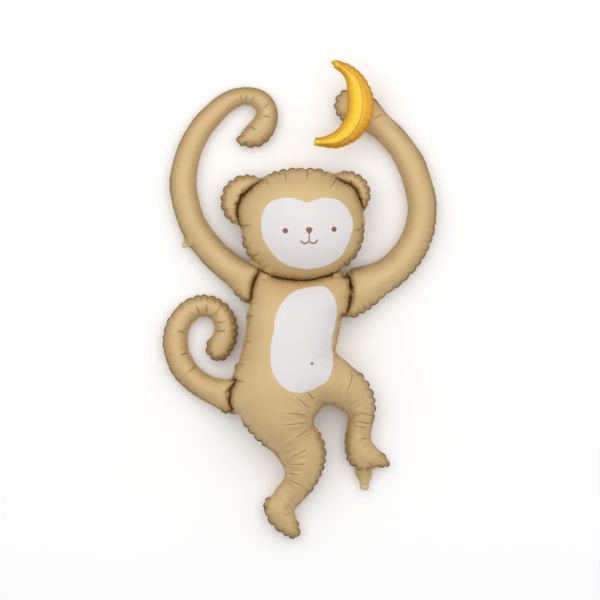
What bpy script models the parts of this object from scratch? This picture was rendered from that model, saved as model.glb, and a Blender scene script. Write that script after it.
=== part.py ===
"""A monkey foil balloon lying on its back, with a small banana balloon on its hand.

Plan positions and half widths are in thousandths of the figure's height,
measured from the middle of the figure and from the tip of the lower foot.
+X is the viewer's right, +Y is towards the head and +Z is up, out of the face.
"""
import bpy
import numpy as np
from mathutils import Vector
from mathutils.geometry import delaunay_2d_cdt

HEIGHT = 1.12            # foot to banana tip, metres
UNIT = HEIGHT / 1000.0
SEAM_WIDTH = 0.0038      # flat heat-sealed rim around the outline
FOIL_THICK = 0.0006      # both sheets of the rim together
ROUNDNESS = 1.138e-4     # how much the widest chambers stay flatter than a tube
REST_SHARE = 0.985       # height of the seam over the half thickness where a part rests
STIFF_REACH = 40.0       # how far a wide chamber carries its neighbours at its own height
SOFT_REACH = 30.0        # how far the change of height then spreads
HAND_PRESS = 0.0045      # how far the hand is pressed flat under the banana
BANANA_PRESS = 0.0030    # how far the banana's back is pressed flat
GAP = 0.0003             # between the two balloons
TAB_HOLE = 0.0052        # hanging hole diameter
FILL_HOLE = 0.0052       # hole in the filling tail

# x, y, half width along the middle of each limb
LEFT_ARM = [
    (-117, 835, 12), (-105, 840, 19), (-90, 848, 26), (-75, 866, 26), (-68, 889, 23),
    (-75, 911, 21), (-92, 923, 20), (-113, 927, 19), (-138, 921, 20), (-161, 907, 21),
    (-184, 885, 23), (-205, 860, 24), (-225, 824, 25), (-237, 788, 26), (-243, 746, 28),
    (-239, 711, 28), (-229, 675, 28), (-212, 639, 29), (-182, 601, 30), (-151, 572, 31),
    (-122, 550, 34), (-99, 532, 40)]
RIGHT_ARM = [
    (113, 906, 37), (134, 894, 36), (157, 877, 30), (176, 860, 27), (197, 840, 27),
    (216, 816, 27), (235, 784, 29), (247, 751, 29), (256, 715, 30), (258, 686, 30),
    (253, 650, 31), (239, 614, 32), (216, 581, 33), (189, 556, 34), (157, 538, 38),
    (126, 520, 45), (104, 500, 38)]
TAIL = [
    (-168, 399, 26), (-157, 419, 26), (-154, 440, 25), (-161, 463, 24), (-178, 480, 23),
    (-199, 486, 23), (-222, 480, 23), (-241, 464, 23), (-254, 442, 25), (-259, 415, 26),
    (-255, 386, 26), (-241, 356, 27), (-218, 331, 26), (-191, 314, 27), (-164, 304, 31),
    (-140, 298, 38)]
TRUNK = [
    (2, 524, 92), (-8, 474, 99), (-17, 415, 97), (-27, 348, 102), (-43, 310, 98),
    (-38, 264, 76), (-21, 226, 57), (-4, 201, 52), (6, 178, 50), (8, 153, 43),
    (2, 124, 35), (-12, 101, 30), (-27, 82, 29), (-38, 63, 29)]
RIGHT_LEG = [
    (40, 344, 59), (78, 324, 49), (105, 307, 43), (123, 283, 36), (129, 260, 30),
    (126, 231, 27), (124, 203, 28), (130, 180, 29)]
LEFT_FOOT = [(-58, 70, 15), (-47, 58, 23), (-35, 43, 26), (-22, 26, 21), (-13, 14, 14)]
RIGHT_FOOT = [(130, 180, 29), (146, 172, 24), (164, 165, 16), (179, 158, 10)]
RIGHT_HEEL = [(128, 174, 25), (136, 159, 20)]
BANANA = [
    (74, 995, 7), (83, 989, 9), (97, 981, 12), (111, 967, 16), (121, 948, 21),
    (127, 925, 26), (128, 901, 27), (123, 879, 26), (111, 858, 24), (95, 843, 20),
    (75, 833, 16), (55, 830, 11), (41, 829, 9)]
HEAD = (7, 659, 130, 116, 2.3)         # x, y, half width, half height, squareness
EARS = [(-108, 706, 55), (100, 720, 49)]
HANG_TAB = [(-221, 622, 9), (-240, 615, 8)]
FILL_TAIL = [(136, 168, 22), (136, 147, 20), (136, 134, 17), (137, 122, 11), (138, 108, 10)]
HANG_HOLE = (-240, 615)
FILL_HOLE_AT = (138, 108)

# lines where the two sheets are welded inside the outline; air passes between them
WELDS = [
    [(-57, 549), (-29, 543), (2, 540), (36, 543), (65, 551)],
    [(-99, 578), (-88, 568), (-75, 561)],
    [(107, 577), (94, 567), (82, 560)],
    [(-79, 748), (-88, 741), (-103, 730), (-116, 715)],
    [(-125, 701), (-128, 681), (-126, 667), (-122, 654)],
    [(73, 757), (88, 748), (107, 738)],
    [(116, 730), (125, 713), (132, 694), (135, 686)],
    [(-80, 561), (-89, 547), (-94, 535)],
    [(-97, 523), (-101, 499), (-105, 484)],
    [(94, 566), (104, 547), (108, 525)],
    [(107, 504), (104, 486), (95, 461)],
    [(-132, 331), (-138, 319), (-143, 309)],
    [(-144, 290), (-142, 279), (-135, 262)]]

# short lines through the gaps between welds, where the air passes
VENTS = [
    [(-129, 703), (-120, 708), (-111, 712)],
    [(120, 738), (111, 733), (102, 729)],
    [(-106, 531), (-96, 529), (-86, 527)],
    [(99, 514), (108, 515), (117, 516)],
    [(-154, 299), (-144, 300), (-134, 301)],
    [(-69, 545), (-66, 555), (-63, 565)],
    [(76, 547), (73, 556), (70, 565)]]

RING_STEP = 16.0         # spacing of the points along the outline
INNER_STEP = 19.0        # spacing of the points over the wide chambers
RINGS = (1.6, 6.0, 14.0)  # depths of the extra rows of points inside the seam


def smooth_line(points, step):
    """Points at about the given spacing along a smooth curve through the given ones."""
    p = np.array(points, float)
    p = np.vstack([2 * p[0] - p[1], p, 2 * p[-1] - p[-2]])
    out = []
    for i in range(1, len(p) - 2):
        a, b, c, d = p[i - 1:i + 3]
        n = max(1, int(round(np.linalg.norm((c - b)[:2]) / step)))
        t = np.linspace(0, 1, n, endpoint=False)[:, None]
        out.append(0.5 * (2 * b + (c - a) * t + (2 * a - 5 * b + 4 * c - d) * t ** 2
                          + (3 * b - a - 3 * c + d) * t ** 3))
    out.append(p[-2:-1])
    return np.vstack(out)


def limb_field(points, stations):
    """Distance outside a limb of changing width; negative inside it."""
    line = smooth_line(stations, 3.0)
    best = np.full(len(points), 1e9)
    for x, y, r in line:
        best = np.minimum(best, np.hypot(points[:, 0] - x, points[:, 1] - y) - r)
    return best


def blend(a, b, k):
    """The smaller of two fields with a fillet of about k."""
    h = np.clip(0.5 + 0.5 * (b - a) / k, 0, 1)
    return b * (1 - h) + a * h - k * h * (1 - h)


def monkey_body(points):
    x, y, a, b, n = HEAD
    u = np.abs((points[:, 0] - x) / a) ** n + np.abs((points[:, 1] - y) / b) ** n
    f = (u ** (1 / n) - 1) * min(a, b)
    for ex, ey, er in EARS:
        f = np.minimum(f, np.hypot(points[:, 0] - ex, points[:, 1] - ey) - er)
    for limb in (TRUNK, LEFT_ARM, RIGHT_ARM, TAIL):
        f = np.minimum(f, limb_field(points, limb))
    for limb in (RIGHT_LEG, RIGHT_FOOT, RIGHT_HEEL, LEFT_FOOT):
        f = blend(f, limb_field(points, limb), 8.0)
    return f


def monkey_sheet(points):
    f = np.minimum(monkey_body(points), limb_field(points, HANG_TAB))
    return np.minimum(f, limb_field(points, FILL_TAIL))


def banana_body(points):
    return limb_field(points, BANANA)


def onto_level(field, points, level):
    """Move points onto the line where the field has the given value."""
    p = points.copy()
    for _ in range(3):
        f = field(p) - level
        e = 0.05
        gx = (field(p + [e, 0]) - field(p - [e, 0])) / (2 * e)
        gy = (field(p + [0, e]) - field(p - [0, e])) / (2 * e)
        g2 = np.maximum(gx * gx + gy * gy, 0.3)
        p -= np.c_[gx, gy] * np.clip(f / g2, -2, 2)[:, None]
    return p


def level_loops(field, box, level, step, cell=5.0):
    """Closed loops along one level of the field, with evenly spaced points."""
    x0, y0, x1, y1 = box
    nx = int((x1 - x0) / cell) + 2
    ny = int((y1 - y0) / cell) + 2
    gx, gy = np.meshgrid(x0 + cell * np.arange(nx), y0 + cell * np.arange(ny), indexing="ij")
    f = field(np.c_[gx.ravel(), gy.ravel()]).reshape(nx, ny) - level
    f[f == 0] = 1e-6
    neg = f < 0
    links = {}
    spots = {}

    def cross(a, b):
        key = (a, b) if a < b else (b, a)
        if key not in spots:
            t = f[key[0]] / (f[key[0]] - f[key[1]])
            pa = np.array([gx[key[0]], gy[key[0]]])
            pb = np.array([gx[key[1]], gy[key[1]]])
            spots[key] = pa + (pb - pa) * t
        return key

    busy = neg[:-1, :-1].astype(int) + neg[1:, :-1] + neg[:-1, 1:] + neg[1:, 1:]
    for i, j in zip(*np.nonzero((busy > 0) & (busy < 4))):
        i, j = int(i), int(j)
        for tri in (((i, j), (i + 1, j), (i + 1, j + 1)), ((i, j), (i + 1, j + 1), (i, j + 1))):
            keys = [cross(tri[k], tri[k - 2]) for k in range(3)
                    if neg[tri[k]] != neg[tri[k - 2]]]
            if len(keys) == 2:
                links.setdefault(keys[0], []).append(keys[1])
                links.setdefault(keys[1], []).append(keys[0])
    loops = []
    left = dict(links)
    while left:
        start = next(iter(left))
        loop = [start]
        left.pop(start)
        here = start
        while True:
            onward = [k for k in links[here] if k in left]
            if not onward:
                break
            here = onward[0]
            left.pop(here)
            loop.append(here)
        p = onto_level(field, np.array([spots[k] for k in loop]), level)
        p = np.vstack([p, p[:1]])
        s = np.r_[0, np.cumsum(np.linalg.norm(np.diff(p, axis=0), axis=1))]
        if s[-1] < 3 * step:
            continue
        t = np.linspace(0, s[-1], int(round(s[-1] / step)), endpoint=False)
        q = np.c_[np.interp(t, s, p[:, 0]), np.interp(t, s, p[:, 1])]
        loops.append(onto_level(field, q, level))
    return loops


def within(points, loops):
    """Which points lie inside the loops; a loop within a loop is a hole."""
    x, y = points[:, 0], points[:, 1]
    odd = np.zeros(len(points), bool)
    for loop in loops:
        for (ax, ay), (bx, by) in zip(loop, np.roll(loop, -1, axis=0)):
            if ay != by:
                level = (y >= min(ay, by)) & (y < max(ay, by))
                odd ^= level & (x < ax + (y - ay) * (bx - ax) / (by - ay))
    return odd


def triangulate(sheet, body, box, welds, crests, holes, seam):
    """Plan triangles of one sheet of foil, fitted to its outline, seam and welds."""
    points = []
    edges = []

    def add(line, closed, joined=True):
        n0 = len(points)
        points.extend(map(tuple, line))
        n = len(line)
        if joined:
            edges.extend((n0 + k, n0 + k + 1) for k in range(n - 1))
        if joined and closed:
            edges.append((n0 + n - 1, n0))

    rims = level_loops(sheet, box, 0.0, RING_STEP)
    for loop in level_loops(body, box, -seam, RING_STEP):
        add(loop, True)
    for x, y, r in holes:
        a = np.linspace(0, 2 * np.pi, 10, endpoint=False)
        rims.append(np.c_[x + r * np.cos(a), y + r * np.sin(a)])
    for loop in rims:
        add(loop, True)
    weld_points = np.zeros((0, 2))
    for weld in welds:
        line = smooth_line(weld, 10.0)
        line = line[sheet(line) < -0.8 * seam]
        add(line, False)
        weld_points = np.vstack([weld_points, line])

    def keep(line, clear):
        near = np.array(points)
        mine = [p for p in line if np.min(np.hypot(near[:, 0] - p[0], near[:, 1] - p[1])) > clear]
        if mine:
            add(mine, False, False)

    for crest in crests:
        line = smooth_line(crest, INNER_STEP * 0.8)
        line = line[body(line[:, :2]) < -seam - 8.0]
        keep(line[:, :2], 7.0)
    for depth in RINGS:
        for loop in level_loops(body, box, -seam - depth, RING_STEP):
            keep(loop, min(0.8 * depth, 8.0))
    x0, y0, x1, y1 = box
    rows = np.arange(y0, y1, INNER_STEP * 0.866)
    for k, y in enumerate(rows):
        xs = np.arange(x0 + (k % 2) * INNER_STEP / 2, x1, INNER_STEP)
        row = np.c_[xs, np.full(len(xs), y)]
        row = row[body(row) < -seam - 20.0]
        keep(row, 0.62 * INNER_STEP)

    made = delaunay_2d_cdt([Vector(p) for p in points], edges, [], 0, 1e-4, False)
    plan = np.array([tuple(p) for p in made[0]])
    tris = np.array([t for t in made[2] if len(t) == 3])
    tris = tris[within(plan[tris].mean(axis=1), rims)]
    used = np.unique(tris)
    index = np.full(len(plan), -1)
    index[used] = np.arange(len(used))
    plan = plan[used]
    tris = index[tris]
    a, b, c = plan[tris[:, 0]], plan[tris[:, 1]], plan[tris[:, 2]]
    turn = (b[:, 0] - a[:, 0]) * (c[:, 1] - a[:, 1]) - (b[:, 1] - a[:, 1]) * (c[:, 0] - a[:, 0])
    tris[turn < 0] = tris[turn < 0][:, ::-1]
    return plan, tris, weld_points


def solve(plan, tris, fixed, values, load, drain):
    """A smooth field over the plan: load raises it, drain lowers wide parts."""
    n = len(plan)
    pull = []
    for k in range(3):
        i, j, o = tris[:, k], tris[:, k - 2], tris[:, k - 1]
        u = plan[i] - plan[o]
        v = plan[j] - plan[o]
        area = np.maximum(np.abs(u[:, 0] * v[:, 1] - u[:, 1] * v[:, 0]), 1e-9)
        pull.append((i, j, 0.5 * np.sum(u * v, axis=1) / area))
    i = np.concatenate([p[0] for p in pull])
    j = np.concatenate([p[1] for p in pull])
    w = np.concatenate([p[2] for p in pull])
    mass = np.bincount(tris.ravel(), np.repeat(area / 6, 3), n)
    free = ~fixed

    def apply(x):
        d = w * (x[i] - x[j])
        y = np.bincount(i, d, n) - np.bincount(j, d, n) + drain * mass * x
        return y

    x = np.where(fixed, values, 0.0)
    r = np.where(free, load * mass - apply(x), 0.0)
    diag = np.bincount(i, w, n) + np.bincount(j, w, n) + drain * mass
    diag = np.maximum(diag, 1e-9)
    z = r / diag
    p = z.copy()
    rz = r @ z
    for _ in range(4 * n):
        if rz < 1e-16 * (1 + x @ x):
            break
        q = np.where(free, apply(p), 0.0)
        step = rz / (p @ q)
        x = x + step * p
        r = r - step * q
        z = r / diag
        old = rz
        rz = r @ z
        p = z + (rz / old) * p
    return x


def half_height(plan, tris, body, weld_points, seam):
    """Half thickness of the blown-up balloon over the plan, in plan units."""
    shut = body(plan) > -seam - 0.05
    for x, y in weld_points:
        shut |= np.hypot(plan[:, 0] - x, plan[:, 1] - y) < 0.05
    u = solve(plan, tris, shut, np.zeros(len(plan)), 2.0, ROUNDNESS)
    return np.where(shut, 0.0, np.sqrt(np.maximum(u, 0)))


def middle_plane(plan, tris, half, flats):
    """Height of the seam: every part lies on the floor, and stiff joints lift their limbs."""
    lifted = np.zeros(len(plan))
    for k, (x, y) in enumerate(plan):
        lifted[k] = half[np.hypot(plan[:, 0] - x, plan[:, 1] - y) < STIFF_REACH].max()
    fixed = np.zeros(len(plan), bool)
    values = np.zeros(len(plan))
    drain = 1 / SOFT_REACH ** 2
    middle = solve(plan, tris, fixed, values, REST_SHARE * lifted * drain, drain)
    for line in flats:
        tab = (limb_field(plan, line) < 0.5) & (half <= 0)
        fixed |= tab
        values[tab] = middle[tab].mean()
    return solve(plan, tris, fixed, values, REST_SHARE * lifted * drain, drain)


def centred(plans):
    """The middle of the box around all the plans."""
    every = np.vstack(plans)
    return (every.min(axis=0) + every.max(axis=0)) / 2


def build(name, plan, tris, top, bottom):
    """A closed body between two heights over the same plan triangles."""
    n = len(plan)
    counts = {}
    for t in tris:
        for k in range(3):
            a, b = int(t[k]), int(t[k - 2])
            counts[(a, b)] = counts.get((a, b), 0) + 1
    rim = [e for e in counts if (e[1], e[0]) not in counts]
    faces = [tuple(int(v) for v in t) for t in tris]
    faces += [tuple(int(v) + n for v in t[::-1]) for t in tris]
    for a, b in rim:
        faces.append((b, a, a + n))
        faces.append((b, a + n, b + n))
    verts = np.vstack([np.c_[plan * UNIT, top], np.c_[plan * UNIT, bottom]])
    mesh = bpy.data.meshes.new(name)
    mesh.from_pydata([tuple(map(float, v)) for v in verts], [], faces)
    mesh.update()
    for poly in mesh.polygons:
        poly.use_smooth = True
    obj = bpy.data.objects.new(name, mesh)
    bpy.context.scene.collection.objects.link(obj)
    return obj


def foil(name, colour, roughness):
    mat = bpy.data.materials.new(name)
    mat.use_nodes = True
    node = mat.node_tree.nodes["Principled BSDF"]
    node.inputs["Base Color"].default_value = (*colour, 1)
    node.inputs["Roughness"].default_value = roughness
    node.inputs["Metallic"].default_value = 0.35
    return mat


def main():
    for obj in list(bpy.data.objects):
        bpy.data.objects.remove(obj, do_unlink=True)

    seam = SEAM_WIDTH / UNIT
    thin = FOIL_THICK / 2

    crests = VENTS + [LEFT_ARM[1:-3], RIGHT_ARM[:-4], TAIL[:-2], TRUNK[1:], RIGHT_LEG[3:],
                      LEFT_FOOT[1:-1], RIGHT_FOOT[:2]]
    holes = [(*HANG_HOLE, TAB_HOLE / 2 / UNIT), (*FILL_HOLE_AT, FILL_HOLE / 2 / UNIT)]
    box = (-300, -15, 300, 960)
    plan, tris, weld_points = triangulate(monkey_sheet, monkey_body, box, WELDS, crests,
                                          holes, seam)
    half = half_height(plan, tris, monkey_body, weld_points, seam)
    middle = middle_plane(plan, tris, half, [HANG_TAB, FILL_TAIL])
    thick = np.maximum(half * UNIT, thin)
    middle = np.maximum(middle * UNIT, thin + 0.001)
    top = middle + thick
    bottom = np.maximum(middle - thick, 0.0)

    x, y, r = RIGHT_ARM[0]
    hand = np.hypot(plan[:, 0] - x, plan[:, 1] - y) < 1.6 * r
    palm = top[hand].max() - HAND_PRESS
    top[hand] = np.minimum(top[hand], palm)

    box = (20, 800, 180, 1020)
    fruit, fruit_tris, _ = triangulate(banana_body, banana_body, box, [], [BANANA[2:-2]], [],
                                       seam)
    half = half_height(fruit, fruit_tris, banana_body, np.zeros((0, 2)), seam)
    thick = np.maximum(half * UNIT, thin)
    middle = palm + GAP + thick.max() - BANANA_PRESS
    under = np.maximum(middle - thick, palm + GAP)

    centre = centred([plan, fruit])
    monkey = build("monkey", plan - centre, tris, top, bottom)
    banana = build("banana", fruit - centre, fruit_tris, middle + thick, under)

    monkey.data.materials.append(foil("tan_foil", (0.60, 0.43, 0.25), 0.38))
    banana.data.materials.append(foil("yellow_foil", (0.90, 0.55, 0.06), 0.32))


main()
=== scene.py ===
"""The looks of a monkey foil balloon that lies on its back, seen from straight above.

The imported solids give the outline, the seam, the inner welds and the height of the seam.
Each balloon is cut again from them as two fine sheets of foil, blown up and creased.
All lengths are in metres, in the frame's own axes: +X right, +Y towards the head, +Z up.
"""
import bpy
import bmesh
import numpy as np
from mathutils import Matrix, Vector
from mathutils.bvhtree import BVHTree
from mathutils.geometry import delaunay_2d_cdt
from mathutils.kdtree import KDTree


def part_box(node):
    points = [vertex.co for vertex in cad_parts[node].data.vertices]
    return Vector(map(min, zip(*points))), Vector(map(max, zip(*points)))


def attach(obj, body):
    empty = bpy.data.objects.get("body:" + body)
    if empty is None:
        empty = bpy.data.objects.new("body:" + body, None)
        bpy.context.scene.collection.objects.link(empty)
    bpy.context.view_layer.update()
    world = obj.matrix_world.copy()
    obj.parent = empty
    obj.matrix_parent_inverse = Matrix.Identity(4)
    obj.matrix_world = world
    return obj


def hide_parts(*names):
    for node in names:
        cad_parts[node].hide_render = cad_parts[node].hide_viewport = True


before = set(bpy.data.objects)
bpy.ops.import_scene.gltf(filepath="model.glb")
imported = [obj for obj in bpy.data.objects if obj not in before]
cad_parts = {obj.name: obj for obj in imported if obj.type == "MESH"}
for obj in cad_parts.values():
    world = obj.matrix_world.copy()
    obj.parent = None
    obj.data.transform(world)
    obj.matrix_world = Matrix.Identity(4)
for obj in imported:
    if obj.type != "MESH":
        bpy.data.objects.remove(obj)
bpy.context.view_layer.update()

# the photograph: metres per pixel, and the pixel that lies over the origin
PIXEL = 0.002348
ORIGIN_PX = (299.73, 299.47)
FRAME_PX = 600
CAMERA_HIGH = 12.0        # over the height where the outlines were measured
OUTLINE_HIGH = 0.05       # and that height over the floor

# the foil
FOIL_EDGE = 0.0005        # thickness of the sealed rim
MONKEY_FINE = 0.85        # size of each balloon's triangles, over the steps below
BANANA_FINE = 0.6
BANANA_RUFFLE = (0.8, 0.6)  # its scallops' length and depth, over the monkey's
HAND_GAP = 0.0004         # between the right hand and the banana on it
LID_PAST = 0.02           # how far past the banana's box the hand stays below it
NO_LID = 9.0              # a height that nothing reaches
FLATTER = 90.7            # how much the wide chambers stay flatter than a tube, per square metre
ALONG_STEP = 0.0040       # spacing of the points along a seam
OPEN_STEP = 0.0052        # spacing of the points over the open foil
BASE_SPARE = 0.02         # spare foil along every seam, as a share of its length
WELD_SPARE = 0.09         # and along the inner welds
MOST_SPARE = 0.22         # and at the tightest bends
WELD_REACH = 0.015        # how far from a weld its spare foil reaches
CHIN_REACH = 0.075        # how far from the chin the weld stays smooth
LEAST_TIGHT = 0.04        # tightness of a straight seam, where the tightest bend has one
LOOSE_TURN = 0.05         # turn over half a limb's width that doesn't tighten a seam
TIGHT_TURN = 0.15         # and the further turn that tightens it fully
LIMB_WIDTH = (0.02, 0.09)  # narrowest and widest limb that the creases follow
SCALLOP = (0.015, 0.025)  # shortest and longest scallop along a seam
SCALLOP_DEEP = 0.0020     # how far the fullest scallop stands out
PRESSURE = 0.000004       # outward push on a point in each round
GRAIN = 0.00012           # size of the random start that sets the creases off
KEPT_SPEED = 0.93         # share of its speed that a point keeps in each round
PULL = 2.4                # how firmly an edge is drawn to its own length
SHEETS_APART = 0.0006     # least gap between the two sheets where the balloon is blown up
STIFFNESS = 0.35          # how firmly the foil keeps from bending sharply
MOST_MOVE = 0.008         # furthest that a crease may move a point
FOLD_ROWS = (0.0014, 0.0030)  # rows beside a traced fold
FOLD_DEEP = 0.0024        # depth of a traced fold
FOLD_WIDE = 0.0015        # how far its sides fall away
LIP_HIGH = 0.3            # height of the lips beside a fold, as a share of its depth
LIP_OFF = 2.4             # how far off they stand, and how wide they are, in fold widths
LIP_WIDE = 1.1
CREASE_DEEP = 0.0055      # depth of the creases beyond the welds' ends
CREASE_WIDE = 0.0026      # how far their sides fall away
CREASE_SHARE = 0.6        # the most of the foil's own height that they may take
MOST_TALL = 1.025         # height over the solid's, at the most
TETHER = 0.0006           # how firmly each point is drawn back to the smooth balloon
ROUNDS = 700              # rounds of creasing
ROWS = (0.00045, 0.0016, 0.0034, 0.0058, 0.0088, 0.0124, 0.0166)  # rows beside a seam
TAB_DEEP = 0.0060         # foil further than this outside the seam is a flat tab
SHUT_HALF = 0.0006        # the solid is shut where half its height is less than this
SHORTEST_WELD = 0.01      # a shorter chain of shut edges is no weld
SEAM_SOFT = 0.009         # how far the height of the seam is smoothed
ON_LINE = 0.00002         # a point nearer than this to a line is on it
LINE_STEP = 0.0008        # spacing of the points on a traced line
FOLD_STEP = 0.0024        # and on a traced fold
FOLD_ON = 0.3             # how far a fold runs on inwards, as a share of its length
FOLD_CLEAR = 0.0035       # least distance from a fold to a seam


def at(px, py):
    """The place over the floor that a pixel of the photograph shows."""
    return ((px - ORIGIN_PX[0]) * PIXEL, (ORIGIN_PX[1] - py) * PIXEL)


def arrays(mesh):
    """A mesh's corner positions and its faces, as arrays."""
    co = np.empty(len(mesh.vertices) * 3, np.float32)
    mesh.vertices.foreach_get("co", co)
    faces = np.array([p.vertices[:] for p in mesh.polygons])
    return co.reshape(-1, 3).astype(float), faces


def nearest(points, queries):
    """Index of and distance to the nearest of some flat points."""
    tree = KDTree(len(points))
    for k, p in enumerate(points):
        tree.insert((p[0], p[1], 0), k)
    tree.balance()
    found = [tree.find((q[0], q[1], 0)) for q in queries]
    return np.array([f[1] for f in found]), np.array([f[2] for f in found])


def chains(edges):
    """Edges joined end to end, as lists of corners; a closed one ends where it starts."""
    links = {}
    for a, b in edges:
        links.setdefault(a, []).append(b)
        links.setdefault(b, []).append(a)
    left = {tuple(sorted(e)) for e in edges}
    starts = sorted(k for k in links if len(links[k]) != 2) + sorted(links)
    out = []
    for start in starts:
        while True:
            here = start
            chain = [here]
            while True:
                onward = [k for k in links[here] if tuple(sorted((here, k))) in left]
                if not onward:
                    break
                left.discard(tuple(sorted((here, onward[0]))))
                here = onward[0]
                chain.append(here)
                if here == start or len(links[here]) != 2:
                    break
            if len(chain) < 2:
                break
            out.append(chain)
    return out


def smooth_through(points, step, closed):
    """Evenly spaced points on a smooth curve through the given ones."""
    p = np.asarray(points, float)
    if closed:
        p = p[:-1]
        p = np.vstack([p[-1:], p, p[:2]])
    else:
        p = np.vstack([2 * p[0] - p[1], p, 2 * p[-1] - p[-2]])
    t = np.linspace(0, 1, 24, endpoint=False)[:, None]
    fine = []
    for i in range(1, len(p) - 2):
        a, b, c, d = p[i - 1:i + 3]
        fine.append(0.5 * (2 * b + (c - a) * t + (2 * a - 5 * b + 4 * c - d) * t ** 2
                           + (3 * b - a - 3 * c + d) * t ** 3))
    fine = np.vstack(fine + [p[-2:-1]])
    s = np.r_[0, np.cumsum(np.linalg.norm(np.diff(fine, axis=0), axis=1))]
    n = max(2, int(round(s[-1] / step)))
    t = np.linspace(0, s[-1], n + 1)
    if closed:
        t = t[:-1]
    return np.c_[np.interp(t, s, fine[:, 0]), np.interp(t, s, fine[:, 1])]


def read_solid(name):
    """The plan of a packed balloon: its rims, seams, welds, and the height of its seam."""
    bm = bmesh.new()
    bm.from_mesh(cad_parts[name].data)
    bmesh.ops.remove_doubles(bm, verts=bm.verts, dist=2e-6)
    merged = bpy.data.meshes.new("merged")
    bm.to_mesh(merged)
    bm.free()
    co, faces = arrays(merged)
    bpy.data.meshes.remove(merged)
    a, b, c = (co[faces[:, k]] for k in range(3))
    up = np.cross(b - a, c - a)
    up = up[:, 2] / np.linalg.norm(up, axis=1)
    top = faces[up > 1e-3]
    tops = np.unique(top)
    lows = np.unique(faces[up < -1e-3])
    match, _ = nearest(co[lows], co[tops])
    low = np.zeros(len(co))
    low[tops] = co[lows][match][:, 2]
    half = (co[:, 2] - low) / 2
    mid = (co[:, 2] + low) / 2
    shut = half < SHUT_HALF
    sides = {}
    for t in top:
        for k in range(3):
            sides.setdefault(tuple(sorted((int(t[k]), int(t[k - 2])))), []).append(t)
    rims = [e for e in sides if len(sides[e]) == 1]
    seams = []
    welds = []
    for e, near in sides.items():
        if shut[e[0]] and shut[e[1]]:
            blown = [not shut[t].all() for t in near]
            if sum(blown) == 2:
                welds.append(e)
            elif sum(blown) == 1:
                seams.append(e)
    on_seam = {k for e in seams for k in e}
    welds = [e for e in welds if not on_seam.issuperset(e)]
    flat = co.copy()
    flat[:, 2] = 0
    tree = BVHTree.FromPolygons([Vector(p) for p in flat], [tuple(t) for t in top.tolist()])
    return {"co": co, "top": top, "mid": mid, "half": half, "tree": tree,
            "rims": [co[c][:, :2] for c in chains(rims)],
            "seams": [co[c][:, :2] for c in chains(seams)],
            "welds": [co[c][:, :2] for c in chains(welds)]}


def within(points, loops):
    """Which points lie inside the loops; a loop within a loop is a hole."""
    x, y = points[:, 0], points[:, 1]
    odd = np.zeros(len(points), bool)
    for loop in loops:
        for (ax, ay), (bx, by) in zip(loop, np.roll(loop, -1, axis=0)):
            if ay != by:
                level = (y >= min(ay, by)) & (y < max(ay, by))
                odd ^= level & (x < ax + (y - ay) * (bx - ax) / (by - ay))
    return odd


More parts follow.
